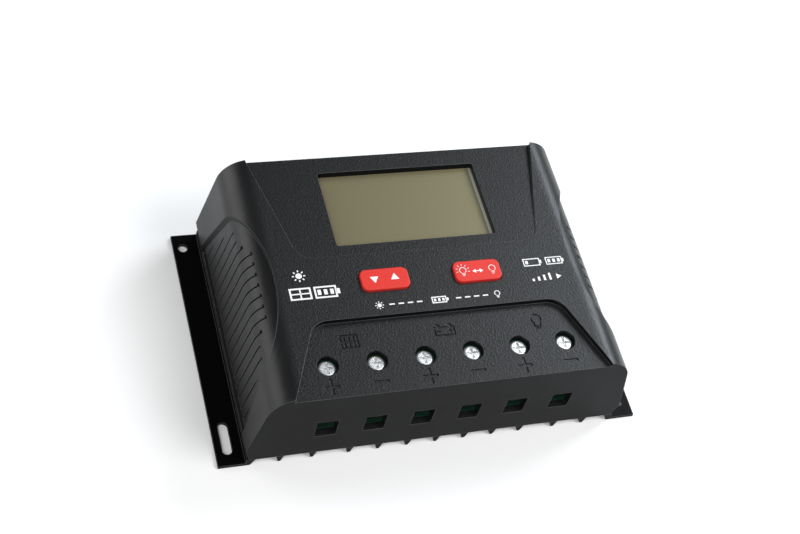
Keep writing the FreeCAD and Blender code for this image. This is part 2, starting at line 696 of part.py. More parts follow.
def make_board_screws():
    spots = [(s * STANDOFF_X, y) for s in (-1, 1) for y in STANDOFF_Y]
    tip = BOARD_Z - 3.6
    return Part.makeCompound([pan_screw(x, y, BOARD_TOP, 2.7, 1.9, 1.25, tip, 1.7) for x, y in spots])


def make_transistors():
    pieces = []
    z = PLATE_TOP + 0.3
    for x in transistor_x():
        x0 = x - TRANSISTOR_HALF
        x1 = x + TRANSISTOR_HALF
        tab = box(x0, x1, TRANSISTOR_SCREW_Y - 3.3, TRANSISTOR_SCREW_Y + 12.5, z, z + 1.3)
        tab = tab.cut(rod(x, TRANSISTOR_SCREW_Y, z - 1, z + 3, 1.8))
        solids = [box(x0, x1, TRANSISTOR_SCREW_Y + 3.6, TRANSISTOR_SCREW_Y + 12.8, z, z + 4.5)]
        for lead in (-1, 0, 1):
            lx0 = x + lead * PIN_PITCH - LEAD_HALF
            lx1 = lx0 + 2 * LEAD_HALF
            solids.append(box(lx0, lx1, TRANSISTOR_SCREW_Y + 12.0, LEAD_Y[1], z + 2.0, z + 2.5))
            solids.append(box(lx0, lx1, *LEAD_Y, z + 2.0, BOARD_TOP + 0.8))
        pieces.append(tab.fuse(solids).removeSplitter())
    return Part.makeCompound(pieces)


def make_insulator_pad():
    half = TRANSISTOR_PITCH * TRANSISTOR_COUNT / 2
    pad = box(-half, half, TRANSISTOR_SCREW_Y - 5, TRANSISTOR_SCREW_Y + 14.5, PLATE_TOP, PLATE_TOP + 0.3)
    return pad.cut(Part.makeCompound([rod(x, TRANSISTOR_SCREW_Y, 5, 12, 1.8) for x in transistor_x()]))


def make_transistor_screws():
    seat = PLATE_TOP + 1.6
    return Part.makeCompound([
        pan_screw(x, TRANSISTOR_SCREW_Y, seat, 2.8, 2.1, 1.5, PLATE_TOP - 2.6, 1.7) for x in transistor_x()])


def make_capacitors():
    cans = []
    for x in CAPACITOR_X:
        can = rod(x, CAPACITOR_Y, BOARD_TOP + 0.4, BOARD_TOP + 21.5, CAPACITOR_R)
        can = can.makeFillet(0.8, [e for e in can.Edges if e.Closed])
        ring = Part.makeTorus(CAPACITOR_R + 0.3, 0.75, V(x, CAPACITOR_Y, BOARD_TOP + 3.2))
        can = can.cut(ring)
        for s in (-1, 1):
            can = can.fuse(rod(x + s * 3.75, CAPACITOR_Y, BOARD_TOP, BOARD_TOP + 1.0, 0.4))
        cans.append(can)
    return Part.makeCompound(cans)


def make_fuse_holders():
    holders = []
    for x in FUSE_X:
        body = box(x - 10.5, x + 10.5, 33.0, 40.6, BOARD_TOP, BOARD_TOP + 8.0)
        for s in (-1, 1):
            slot_x = x + s * FUSE_BLADE_X
            body = body.cut(box(slot_x - 2.8, slot_x + 2.8, 36.3, 37.3, BOARD_TOP + 1.2, BOARD_TOP + 9))
        holders.append(body)
    return Part.makeCompound(holders)


def make_fuses():
    fuses = []
    for x in FUSE_X:
        fuse = slab(rectangle(9.5, 1.9, x, 36.8), [1.2] * 4, BOARD_TOP + 8.2, BOARD_TOP + 17.0)
        for s in (-1, 1):
            blade_x = x + s * FUSE_BLADE_X
            fuse = fuse.fuse(box(blade_x - 2.6, blade_x + 2.6, 36.45, 37.15, BOARD_TOP + 1.6, BOARD_TOP + 9))
        fuses.append(fuse)
    return Part.makeCompound(fuses)


def make_shunts():
    shunts = []
    for x in SHUNT_X:
        outer = box(x - 8, x + 8, 47.4, 49.4, BOARD_TOP, BOARD_TOP + 7)
        shunts.append(outer.cut(box(x - 6.4, x + 6.4, 47.0, 50.0, BOARD_TOP - 1, BOARD_TOP + 5.4)))
    return Part.makeCompound(shunts)


def make_diodes():
    diodes = []
    for x in DIODE_X:
        body = Part.makeCylinder(2.6, 9.0, V(x - 4.5, 28.6, BOARD_TOP + 3.2), V(1, 0, 0))
        lead = box(x - 7.0, x + 7.0, 28.2, 29.0, BOARD_TOP + 2.8, BOARD_TOP + 3.6)
        pieces = [lead]
        for leg_x in (x - 6.6, x + 6.6):
            pieces.append(box(leg_x - 0.4, leg_x + 0.4, 28.2, 29.0, BOARD_TOP, BOARD_TOP + 3.2))
        diodes.append(body.fuse(pieces).removeSplitter())
    return Part.makeCompound(diodes)


def chip(x, y, half_x, half_y, z0, z1, pins, side_of_board):
    """Flat chip with a row of short legs on its two long sides."""
    body = box(x - half_x, x + half_x, y - half_y, y + half_y, z0, z1)
    foot_z = z0 if side_of_board > 0 else z1 - 0.3
    legs = []
    for i in range(pins):
        lx = x + (i - (pins - 1) / 2.0) * (2 * half_x - 1.0) / pins
        for s in (-1, 1):
            y0 = y + s * (half_y - 0.2)
            y1 = y + s * (half_y + 1.1)
            legs.append(box(lx - 0.2, lx + 0.2, min(y0, y1), max(y0, y1), foot_z, foot_z + 0.3))
    return body.fuse(legs)


def make_microcontroller():
    return chip(12.0, 88.0, 6.0, 6.0, DISPLAY_Z - 1.5, DISPLAY_Z, 11, -1)


def make_driver_chips():
    return Part.makeCompound([chip(x, 93.0, 3.0, 2.0, BOARD_TOP, BOARD_TOP + 1.5, 4, 1) for x in DRIVER_X])


def make_supply_coil():
    """Moulded square coil with a shallow round dish in its top."""
    height = 6.0
    top = BOARD_TOP + height
    coil = slab(rectangle(COIL_HALF, COIL_HALF, *COIL_CENTRE), [1.5] * 4, BOARD_TOP, top)
    return coil.cut(rod(*COIL_CENTRE, top - 1.2, top + 1.0, 4.2))


def make_temperature_sensor():
    x, y = SENSOR_CENTRE
    bead = Part.makeSphere(1.9, V(x, y, BOARD_TOP + 4.0))
    legs = [rod(x + s * 0.9, y, BOARD_TOP, BOARD_TOP + 3.4, 0.3) for s in (-1, 1)]
    return bead.fuse(legs)


def make_housing_screws():
    screws = []
    for side in (-1, 1):
        for y in BOSS_Y:
            up = pan_screw(0, 0, 0, 2.9, 1.8, 1.5, -(18.5 - PLATE_BOTTOM), 1.8)
            up.rotate(V(0, 0, 0), V(1, 0, 0), 180)
            up.translate(V(side * BOSS_X, y, PLATE_BOTTOM))
            screws.append(up)
    return Part.makeCompound(screws)


os.makedirs("parts", exist_ok=True)
place_and_save("base_heatsink", make_base())
place_and_save("upper_housing", make_housing())
place_and_save("lcd_glass", make_lcd_glass())
place_and_save("lcd_light_guide", make_light_guide())
place_and_save("lcd_light_leds", make_light_leds())
place_and_save("lcd_contact_strip", make_contact_strip())
place_and_save("lcd_holder", make_lcd_holder())
place_and_save("display_board", make_display_board())
place_and_save("display_board_screws", make_display_screws())
for key_name, key_x in zip(("select", "load"), KEY_X):
    place_and_save(key_name + "_button", square_to_deck(make_key(), key_x, KEY_Y))
    place_and_save(key_name + "_switch_plunger", make_plunger(key_x))
place_and_save("switch_bodies", make_switches())
place_and_save("contact_bars", make_contact_bars())
for pole in range(POLES):
    place_and_save("terminal_module_" + str(pole + 1), make_terminal_module(pole_x(pole)))
    place_and_save("clamp_cage_" + str(pole + 1), make_cage(pole_x(pole)))
    place_and_save("terminal_screw_" + str(pole + 1), make_terminal_screw(pole_x(pole)))
place_and_save("main_board", make_main_board())
place_and_save("board_header", make_board_header())
place_and_save("board_standoffs", make_standoffs())
place_and_save("board_screws", make_board_screws())
place_and_save("power_transistors", make_transistors())
place_and_save("insulator_pad", make_insulator_pad())
place_and_save("transistor_screws", make_transistor_screws())
place_and_save("smoothing_capacitors", make_capacitors())
place_and_save("fuse_holders", make_fuse_holders())
place_and_save("blade_fuses", make_fuses())
place_and_save("current_shunts", make_shunts())
place_and_save("surge_diodes", make_diodes())
place_and_save("microcontroller", make_microcontroller())
place_and_save("driver_chips", make_driver_chips())
place_and_save("supply_coil", make_supply_coil())
place_and_save("temperature_sensor", make_temperature_sensor())
place_and_save("housing_screws", make_housing_screws())
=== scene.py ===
import math

import bmesh
import bpy
from mathutils import Matrix, Quaternion, Vector


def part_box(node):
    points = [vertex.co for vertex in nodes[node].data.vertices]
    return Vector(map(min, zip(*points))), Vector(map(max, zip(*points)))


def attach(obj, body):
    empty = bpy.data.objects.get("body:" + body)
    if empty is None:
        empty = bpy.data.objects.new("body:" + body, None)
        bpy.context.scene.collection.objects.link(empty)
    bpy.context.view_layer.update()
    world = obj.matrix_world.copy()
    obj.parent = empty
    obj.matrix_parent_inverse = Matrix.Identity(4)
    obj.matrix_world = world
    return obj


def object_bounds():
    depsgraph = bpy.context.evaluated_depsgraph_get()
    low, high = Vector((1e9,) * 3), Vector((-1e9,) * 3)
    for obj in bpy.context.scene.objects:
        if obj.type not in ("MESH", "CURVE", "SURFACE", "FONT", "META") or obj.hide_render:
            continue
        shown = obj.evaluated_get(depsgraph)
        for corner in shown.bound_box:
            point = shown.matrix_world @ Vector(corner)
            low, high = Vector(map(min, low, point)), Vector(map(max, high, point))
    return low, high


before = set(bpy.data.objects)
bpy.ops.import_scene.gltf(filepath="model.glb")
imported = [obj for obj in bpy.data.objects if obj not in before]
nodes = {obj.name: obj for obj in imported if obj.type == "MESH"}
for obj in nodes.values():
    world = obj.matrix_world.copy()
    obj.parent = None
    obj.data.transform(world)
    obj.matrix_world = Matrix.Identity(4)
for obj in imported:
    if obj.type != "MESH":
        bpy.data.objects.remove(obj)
cad_low, cad_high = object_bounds()

# The camera stands in front and to the left, well above the deck, and is tipped a little to one
# side, so that the case lies aslant in the view. A long lens keeps its edges nearly parallel.
mm = 0.001
aim = Vector((0.0, 0.4 * mm, 20.0 * mm))
camera_turn = math.radians(-30.223)
camera_rise = math.radians(52.537)
camera_tip = math.radians(19.32)
camera_away = 645.1 * mm
towards = Vector((
    math.sin(camera_turn) * math.cos(camera_rise),
    -math.cos(camera_turn) * math.cos(camera_rise),
    math.sin(camera_rise)))
camera = bpy.data.objects.new("camera", bpy.data.cameras.new("camera"))
bpy.context.scene.collection.objects.link(camera)
camera.location = aim + towards * camera_away
camera.rotation_mode = "QUATERNION"
camera.rotation_quaternion = (-towards).to_track_quat("-Z", "Y") @ Quaternion((0, 0, 1), camera_tip)
camera.data.sensor_width = 36.0
camera.data.lens = 66.14
camera.data.shift_x = -0.0114
camera.data.shift_y = 0.0419
camera.data.clip_start = 0.01
camera.data.clip_end = 20.0
bpy.context.scene.camera = camera


# The base is one aluminium extrusion, sawn to length, drilled and then anodised black. It has a
# die-drawn surface: fine lines along its length, a satin gloss, and edges painted paler, partly
# as wear and partly as a painted highlight.
class Finish:
    """A node material being put together, from its shader back to its textures."""

    def __init__(self, name, colour, roughness, metal=0.0):
        self.material = bpy.data.materials.new(name)
        self.material.use_nodes = True
        self.tree = self.material.node_tree
        self.shader = self.tree.nodes["Principled BSDF"]
        self.shader.inputs["Base Color"].default_value = (*colour, 1.0)
        self.shader.inputs["Roughness"].default_value = roughness
        self.shader.inputs["Metallic"].default_value = metal
        self.place = self.tree.nodes.new("ShaderNodeTexCoord").outputs["Object"]

    def node(self, kind, **settings):
        made = self.tree.nodes.new(kind)
        for key, value in settings.items():
            setattr(made, key, value)
        return made

    def join(self, start, end):
        self.tree.links.new(start, end)

    def stretched(self, x, y, z):
        mapping = self.node("ShaderNodeMapping")
        mapping.inputs["Scale"].default_value = (x, y, z)
        self.join(self.place, mapping.inputs["Vector"])
        return mapping.outputs["Vector"]

    def along(self, axis):
        """Place along one axis of the object, in metres."""
        parts = self.node("ShaderNodeSeparateXYZ")
        self.join(self.place, parts.inputs["Vector"])
        return parts.outputs[axis]

    def noise(self, size, detail=3.0, roughness=0.55, where=None):
        """Cloudy noise whose lumps are about size metres across."""
        made = self.node("ShaderNodeTexNoise")
        made.inputs["Scale"].default_value = 1.0 / size
        made.inputs["Detail"].default_value = detail
        made.inputs["Roughness"].default_value = roughness
        self.join(where or self.place, made.inputs["Vector"])
        return made.outputs["Fac"]

    def cells(self, size, feature="F1"):
        made = self.node("ShaderNodeTexVoronoi", feature=feature)
        made.inputs["Scale"].default_value = 1.0 / size
        self.join(self.place, made.inputs["Vector"])
        return made.outputs["Distance"]

    def span(self, value, low, high, to_low, to_high, smooth=False):
        """Takes low to to_low and high to to_high, and what is between in proportion."""
        made = self.node("ShaderNodeMapRange", interpolation_type="SMOOTHSTEP" if smooth else "LINEAR")
        made.inputs["From Min"].default_value = low
        made.inputs["From Max"].default_value = high
        made.inputs["To Min"].default_value = to_low
        made.inputs["To Max"].default_value = to_high
        self.join(value, made.inputs["Value"])
        return made.outputs["Result"]

    def reckon(self, operation, a, b):
        made = self.node("ShaderNodeMath", operation=operation)
        for socket, value in zip(made.inputs, (a, b)):
            if isinstance(value, float):
                socket.default_value = value
            else:
                self.join(value, socket)
        return made.outputs["Value"]

    def plus(self, a, b):
        return self.reckon("ADD", a, b)

    def less(self, a, b):
        return self.reckon("SUBTRACT", a, b)

    def times(self, a, b):
        return self.reckon("MULTIPLY", a, b)

    def unsigned(self, a):
        return self.reckon("ABSOLUTE", a, 0.0)

    def blend(self, share, colour_a, colour_b):
        made = self.node("ShaderNodeMix", data_type="RGBA")
        self.join(share, made.inputs["Factor"])
        for socket, value in ((made.inputs["A"], colour_a), (made.inputs["B"], colour_b)):
            if isinstance(value, tuple):
                socket.default_value = (*value, 1.0)
            else:
                self.join(value, socket)
        return made.outputs["Result"]

    def facing(self, axis):
        """How far a face looks along an axis, from minus one to one."""
        geometry = self.node("ShaderNodeNewGeometry")
        parts = self.node("ShaderNodeSeparateXYZ")
        self.join(geometry.outputs["True Normal"], parts.inputs["Vector"])
        return parts.outputs[axis]

    def rounded_normal(self, radius):
        bevel = self.node("ShaderNodeBevel", samples=6)
        bevel.inputs["Radius"].default_value = radius
        return bevel.outputs["Normal"]

    def edge_wear_and_highlight(self, radius):
        """One along sharp edges, nought on flat faces, from the rounded and the plain normal."""
        geometry = self.node("ShaderNodeNewGeometry")
        likeness = self.node("ShaderNodeVectorMath", operation="DOT_PRODUCT")
        self.join(self.rounded_normal(radius), likeness.inputs[0])
        self.join(geometry.outputs["Normal"], likeness.inputs[1])
        return self.span(likeness.outputs["Value"], 0.98, 0.80, 0.0, 1.0)

    def colour(self, value):
        self.join(value, self.shader.inputs["Base Color"])

    def roughness(self, value):
        self.join(value, self.shader.inputs["Roughness"])

    def relief(self, height, depth, edge_radius=0.0):
        """Raises the surface by height times depth, and rounds its edges if they have a radius."""
        bump = self.node("ShaderNodeBump")
        bump.inputs["Strength"].default_value = 1.0
        bump.inputs["Distance"].default_value = depth
        self.join(height, bump.inputs["Height"])
        if edge_radius:
            self.join(self.rounded_normal(edge_radius), bump.inputs["Normal"])
        self.join(bump.outputs["Normal"], self.shader.inputs["Normal"])


def dress(finish, *names):
    """Gives CAD nodes their finish, in place of the plain one."""
    for name in names:
        for slot in nodes[name].material_slots:
            slot.material = finish.material


anodised_black = (0.0012, 0.0012, 0.0016)
worn_metal_and_highlight = (0.13, 0.13, 0.135)
anodised = Finish("black_anodised", anodised_black, 0.4)
anodised.shader.inputs["Specular IOR Level"].default_value = 0.07
drawn_lines = anodised.noise(0.35 * mm, where=anodised.stretched(1.0, 0.02, 1.0))
etching = anodised.noise(0.12 * mm)
drawn_and_etched = anodised.plus(drawn_lines, etching)
# Paler edges: partly wear, partly a painted highlight along the edges that catch the light.
anodised.colour(anodised.blend(anodised.edge_wear_and_highlight(0.35 * mm), anodised_black, worn_metal_and_highlight))
anodised.roughness(anodised.span(drawn_and_etched, 0.6, 1.4, 0.34, 0.52))
anodised.relief(drawn_and_etched, 0.02 * mm, 0.25 * mm)
dress(anodised, "base_heatsink")

# Four steel machine screws, finished in black oxide, come up through the base into the posts of
# the housing and hold the two halves of the case together.
black_oxide = Finish("black_oxide", (0.02, 0.02, 0.021), 0.35, metal=0.8)
turning_marks = black_oxide.noise(0.2 * mm, detail=4.0)
black_oxide.roughness(black_oxide.span(turning_marks, 0.3, 0.7, 0.28, 0.5))
black_oxide.relief(turning_marks, 0.02 * mm, 0.15 * mm)
dress(black_oxide, "housing_screws")

# The upper housing is one black moulding. Its flat faces have a coarse leathery grain, eroded
# into the mould, and its round shoulders, sides and front are left smooth with a satin gloss.
housing_black = (0.0050, 0.0052, 0.0058)
# Grey painted along the edges, partly as wear and partly as a painted highlight.
wear_and_highlight_grey = (0.115, 0.117, 0.12)
grain_depth = 0.10 * mm
moulding = Finish("black_moulding", housing_black, 0.45)
flat = moulding.span(moulding.facing("Z"), 0.97, 0.996, 0.0, 1.0, smooth=True)
pebble = moulding.cells(0.78 * mm, feature="SMOOTH_F1")
wrinkle = moulding.noise(0.46 * mm, detail=3.0, roughness=0.6)
grain = moulding.times(moulding.plus(pebble, wrinkle), flat)
fine_grain = moulding.times(moulding.noise(0.16 * mm, detail=2.0), 0.10)
moulding.relief(moulding.plus(grain, fine_grain), grain_depth, 0.3 * mm)

# The gloss of the housing differs from face to face: the deck is the glossiest, the steep sides
# less so, and the front wall is the most matt. Its roughness also varies in soft clouds.
cloud = moulding.noise(14.0 * mm, detail=2.0)
smooth_rough = moulding.span(cloud, 0.3, 0.7, 0.34, 0.40)
grained_rough = moulding.span(wrinkle, 0.3, 0.7, 0.36, 0.52)
rough_step = moulding.times(moulding.less(grained_rough, smooth_rough), flat)
moulding.roughness(moulding.plus(smooth_rough, rough_step))
matt_front = moulding.span(moulding.facing("Y"), -0.95, -0.7, 1.0, 0.0, smooth=True)
steep_gloss = moulding.span(moulding.facing("Z"), 0.25, 0.6, 0.29, 0.42, smooth=True)
gloss = moulding.plus(steep_gloss, moulding.times(matt_front, -0.23))
moulding.join(gloss, moulding.shader.inputs["Specular IOR Level"])

# The edges of the housing are painted paler, partly as wear from handling and partly as a painted
# highlight. The marks sunk into the terminal panel are small and lie out of reach, so their edges
# stay black.
marks_middle = cad_low.y + 16.0 * mm
marks_half_x = 54.6 * mm
marks_half_y = 14.4 * mm
off_middle = moulding.unsigned(moulding.along("X"))
off_marks = moulding.unsigned(moulding.plus(moulding.along("Y"), -marks_middle))
on_marks = moulding.times(
    moulding.span(off_middle, marks_half_x, marks_half_x + 0.4 * mm, 1.0, 0.0),
    moulding.span(off_marks, marks_half_y, marks_half_y + 0.3 * mm, 1.0, 0.0))
# Painted highlight and wear along the edges, kept off the sunk marks.
wear_and_highlight = moulding.times(
    moulding.edge_wear_and_highlight(0.32 * mm),
    moulding.span(on_marks, 0.0, 1.0, 1.0, 0.0))
moulding.colour(moulding.blend(wear_and_highlight, housing_black, wear_and_highlight_grey))
dress(moulding, "upper_housing")

# The display is a bare glass cell with a grey-green reflecting film behind it. Light from the
# right is painted into the film, which grows paler to the right, and it has a fine pearly speckle.
film_left = (0.137, 0.120, 0.067)
film_painted_lit_right = (0.174, 0.161, 0.092)
film_speckle = (0.22, 0.20, 0.13)
lcd = Finish("display_glass", (0.2, 0.18, 0.12), 0.34)
lcd.shader.inputs["Specular IOR Level"].default_value = 0.4
glass_low, glass_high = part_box("lcd_glass")
# Painted light: the film is coloured paler towards its right-hand end.
painted_light_to_right = lcd.span(lcd.along("X"), glass_low.x, glass_high.x, 0.0, 1.0)
pearl = lcd.noise(0.09 * mm, detail=1.0)
film_with_painted_light = lcd.blend(painted_light_to_right, film_left, film_painted_lit_right)
lcd.colour(lcd.blend(lcd.span(pearl, 0.35, 0.65, 0.0, 0.10), film_with_painted_light, film_speckle))
lcd.relief(pearl, 0.004 * mm)
dress(lcd, "lcd_glass")

# Pale strips lie on the glass: a wide one down the right of the window and a hair of one along the
# front and left. They have a faint speckle.
pale_strip_finish = Finish("display_pale_strip", (0.30, 0.30, 0.27), 0.4)
pale_strip_speckle = pale_strip_finish.noise(0.12 * mm, detail=2.0)
pale_strip_finish.colour(pale_strip_finish.blend(pale_strip_speckle, (0.34, 0.34, 0.31), (0.44, 0.44, 0.41)))
pale_strip_finish.relief(pale_strip_speckle, 0.01 * mm)
pale_strip_thick = 0.04 * mm
pale_strip_gap = 0.1 * mm
window_half = 35.8 * mm
window_front = cad_low.y + 70.0 * mm
window_back = cad_low.y + 109.5 * mm


def plate(mesh, low, high):
    """Closed plate between a lower and an upper outline with the same number of points."""
    below = [mesh.verts.new(point) for point in low]
    above = [mesh.verts.new(point) for point in high]
    mesh.faces.new(list(reversed(below)))
    mesh.faces.new(above)
    for k in range(len(below)):
        n = (k + 1) % len(below)
        mesh.faces.new((below[k], below[n], above[n], above[k]))


def finish_piece(name, mesh, finish, body, shift):
    """Makes a piece of a mesh, moves it by shift into its place and lets it ride on a body."""
    bmesh.ops.recalc_face_normals(mesh, faces=mesh.faces)
    data = bpy.data.meshes.new(name)
    mesh.to_mesh(data)
    mesh.free()
    data.transform(shift)
    data.materials.append(finish.material)
    piece = bpy.data.objects.new(name, data)
    bpy.context.scene.collection.objects.link(piece)
    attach(piece, body)


def pale_glass_strip(name, x0, x1, y0, y1):
    """Thin strip on the glass, chamfered all round."""
    mesh = bmesh.new()
    z = glass_high.z
    t = pale_strip_thick
    plate(mesh,
          [(x0, y0, z), (x1, y0, z), (x1, y1, z), (x0, y1, z)],
          [(x0 + t, y0 + t, z + t), (x1 - t, y0 + t, z + t),
           (x1 - t, y1 - t, z + t), (x0 + t, y1 - t, z + t)])
    finish_piece(name, mesh, pale_strip_finish, "controller", Matrix())


pale_glass_strip("display_pale_strip_right", window_half - 1.35 * mm, window_half - pale_strip_gap,
           window_front + pale_strip_gap, window_back - pale_strip_gap)
pale_glass_strip("display_pale_strip_front", -window_half + pale_strip_gap, window_half - 1.45 * mm,
           window_front + pale_strip_gap, window_front + 0.5 * mm)
pale_glass_strip("display_pale_strip_left", -window_half + pale_strip_gap, -window_half + 0.45 * mm,
           window_front + 0.6 * mm, window_back - pale_strip_gap)

# The light guide is a plate of clear acrylic under the glass. It is moulded with a faint waviness
# that spreads the light of the LEDs along its edge.
guide = Finish("clear_guide", (0.8, 0.85, 0.8), 0.1)
guide.shader.inputs["Transmission Weight"].default_value = 0.7
guide.relief(guide.noise(0.6 * mm), 0.02 * mm)
dress(guide, "lcd_light_guide")

# The holder that carries the display, and the packages of the LEDs beside it, are moulded in
# opaque white plastic, so that light is thrown back into the guide.
white_parts = Finish("white_moulding", (0.75, 0.75, 0.72), 0.45)
white_parts.relief(white_parts.noise(0.2 * mm), 0.02 * mm, 0.15 * mm)
dress(white_parts, "lcd_holder", "lcd_light_leds")

# The contact strip is silicone rubber in thin layers, by turns black with carbon and plain grey.
# It is squeezed between the glass and the display board, and each black layer is a contact.
rubber = Finish("contact_rubber", (0.12, 0.12, 0.12), 0.7)
layers = rubber.node("ShaderNodeTexWave", bands_direction="X")
layers.inputs["Scale"].default_value = 3.0 / mm
rubber.join(rubber.place, layers.inputs["Vector"])
rubber.colour(rubber.blend(layers.outputs["Fac"], (0.03, 0.03, 0.03), (0.35, 0.35, 0.36)))
dress(rubber, "lcd_contact_strip")

# Two red keys stand a little proud of the deck. They are moulded in one colour with a fine
# eroded grain on top, and their marks are printed in white.
red_low = (0.56, 0.021, 0.014)
red_high = (0.67, 0.037, 0.026)
red = Finish("red_key", (0.74, 0.04, 0.03), 0.42)
red.shader.inputs["Specular IOR Level"].default_value = 0.35
key_grain = red.noise(0.28 * mm, detail=3.0, roughness=0.65)
red.colour(red.blend(red.span(key_grain, 0.35, 0.65, 0.0, 1.0), red_low, red_high))
red.roughness(red.span(key_grain, 0.3, 0.7, 0.36, 0.55))
red.relief(key_grain, 0.05 * mm, 0.2 * mm)
dress(red, "select_button", "load_button")

# Under each key a small black switch is soldered to the display board. Its body and its plunger
# are moulded plastic, and the plunger moves with the key.
switch_black = Finish("switch_black", (0.02, 0.02, 0.02), 0.5)
switch_black.relief(switch_black.noise(0.2 * mm), 0.02 * mm, 0.1 * mm)
dress(switch_black, "select_switch_plunger", "load_switch_plunger", "switch_bodies")

# The white print on the keys and the deck is ink laid down through a screen, a few hundredths
# of a millimetre thick. Each mark is made of bars, discs and rings and rides on what it is on.
deck_slope = 0.038
ink_depth = 0.05 * mm
ink = Finish("white_ink", (0.80, 0.80, 0.80), 0.5)
ink_speckle = ink.noise(0.15 * mm, detail=2.0)
ink_share = ink.span(ink_speckle, 0.3, 0.7, 0.0, 1.0)
ink.colour(ink.blend(ink_share, (0.72, 0.72, 0.72), (0.86, 0.86, 0.86)))
ink.relief(ink_speckle, 0.01 * mm)


def around(x, y, r, angle):
    return Vector((x + r * math.cos(angle), y + r * math.sin(angle)))


def stroke(x0, y0, x1, y1, width):
    along = Vector((x1 - x0, y1 - y0)).normalized()
    side = Vector((-along.y, along.x)) * width / 2
    a, b = Vector((x0, y0)), Vector((x1, y1))
    return [a - side, b - side, b + side, a + side]


def triangle(x, y, r, turn):
    """Even triangle with one corner turned to an angle, in degrees from the right."""
    return [around(x, y, r, math.radians(turn + 120 * k)) for k in range(3)]


def disc(x, y, r, steps=28):
    return [around(x, y, r, k * math.tau / steps) for k in range(steps)]


def ring(x, y, r, width, start, end, steps=28):
    """Short four-sided pieces round part of a circle."""
    inner, outer = r - width / 2, r + width / 2
    pieces = []
    for k in range(steps):
        a = math.radians(start + (end - start) * k / steps)
        b = math.radians(start + (end - start) * (k + 1) / steps)
        corners = [(inner, a), (outer, a), (outer, b), (inner, b)]
        pieces.append([around(x, y, q, t) for q, t in corners])
    return pieces


def rays(x, y, inner, outer, angles, width):
    """Short strokes that point away from a middle."""
    marks = []
    for angle in angles:
        c, s = math.cos(angle), math.sin(angle)
        marks.append(stroke(x + c * inner, y + s * inner, x + c * outer, y + s * outer, width))
    return marks


def outline_box(x0, y0, x1, y1, width):
    h = width / 2
    return [stroke(x0 - h, y0, x1 + h, y0, width), stroke(x0 - h, y1, x1 + h, y1, width),
            stroke(x0, y0 + h, x0, y1 - h, width), stroke(x1, y0 + h, x1, y1 - h, width)]


def lamp(x, y, size, line, lit):
    """A bulb outline over a cap of three bars, with short rays round it when it is lit."""
    width = size * line
    marks = ring(x, y, size * 0.42, width, -55.0, 235.0)
    for k, half in enumerate((0.22, 0.22, 0.13)):
        level = y - size * (0.46 + 0.17 * k)
        marks.append(stroke(x - size * half, level, x + size * half, level, width * 0.8))
    if lit:
        angles = [math.radians(-15 + 35 * k) for k in range(7)]
        marks += rays(x, y, size * 0.66, size * 0.92, angles, width * 0.8)
    return marks


def print_marks(name, marks, centre, body):
    """Makes one thin printed piece from flat marks in millimetres about centre."""
    mesh = bmesh.new()
    for mark in marks:
        plate(mesh,
              [(p.x * mm, p.y * mm, 0.0) for p in mark],
              [(p.x * mm, p.y * mm, ink_depth) for p in mark])
    tilt = math.atan(deck_slope)
    finish_piece(name, mesh, ink, body, Matrix.Translation(centre) @ Matrix.Rotation(tilt, 4, "X"))


# The keys carry a print each. On one are two triangles, down and up, that step through the
# display. On the other a double arrow between a lit and an unlit lamp stands for on and off.
def key_top(node):
    """Middle of the top face of a key, from its box and the slope of the deck."""
    low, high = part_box(node)
    middle = (low + high) / 2
    back_of_top = 4.5 * mm
    return Vector((middle.x, middle.y, high.z - deck_slope * back_of_top))


select_marks = [triangle(-4.6, 0.0, 2.1, -90.0), triangle(4.2, 0.0, 2.1, 90.0)]
print_marks("select_key_print", select_marks, key_top("select_button"), "select_key")

arrow_y = -0.6
load_marks = lamp(-6.6, 0.2, 3.4, 0.085, True) + lamp(6.6, 0.2, 3.4, 0.085, False)
load_marks += [triangle(-1.4, arrow_y, 1.1, 180.0), triangle(1.4, arrow_y, 1.1, 0.0)]
load_marks += [stroke(-1.0, arrow_y, 1.0, arrow_y, 0.4)]
print_marks("load_key_print", load_marks, key_top("load_button"), "load_key")


# Three groups of marks are printed on the deck, beside and in front of the keys. The first, on the
# left, says what the controller joins: a sun over a panel grid, and a battery.
def battery(x, y, half_x, half_y, bars, width):
    """A cell outline with its cap and up to three level bars."""
    marks = outline_box(x - half_x, y - half_y, x + half_x, y + half_y, width)
    marks.append(stroke(x + half_x, y, x + half_x + 2.2 * width, y, half_y))
    pitch = (2 * half_x - width) / 3
    for k in range(bars):
        middle = x - half_x + width / 2 + pitch * (k + 0.5)
        marks.append(stroke(middle, y - half_y * 0.5, middle, y + half_y * 0.5, pitch * 0.55))
    return marks


def sun(x, y, r, width):
    return [disc(x, y, r)] + rays(x, y, r * 1.45, r * 2.1, [k * math.tau / 8 for k in range(8)], width)


def on_deck(x, y):
    """The point of the housing's surface under x, y in millimetres, with y from the front edge."""
    housing = nodes["upper_housing"]
    inward = housing.matrix_world.inverted()
    start = inward @ Vector((x * mm, cad_low.y + y * mm, 0.2))
    found, place, _, _ = housing.ray_cast(start, inward.to_3x3() @ Vector((0.0, 0.0, -1.0)))
    return housing.matrix_world @ place if found else None


panel_marks = sun(-5.2, 5.6, 1.35, 0.55) + outline_box(-10.4, -5.6, -2.0, -0.6, 0.75)
panel_marks += [stroke(-6.2, -5.2, -6.2, -1.0, 0.6), stroke(-10.0, -3.1, -2.4, -3.1, 0.6)]
panel_marks += battery(4.4, -3.1, 4.4, 2.5, 3, 0.75)
print_marks("panel_print", panel_marks, on_deck(-50.0, 51.0), "controller")

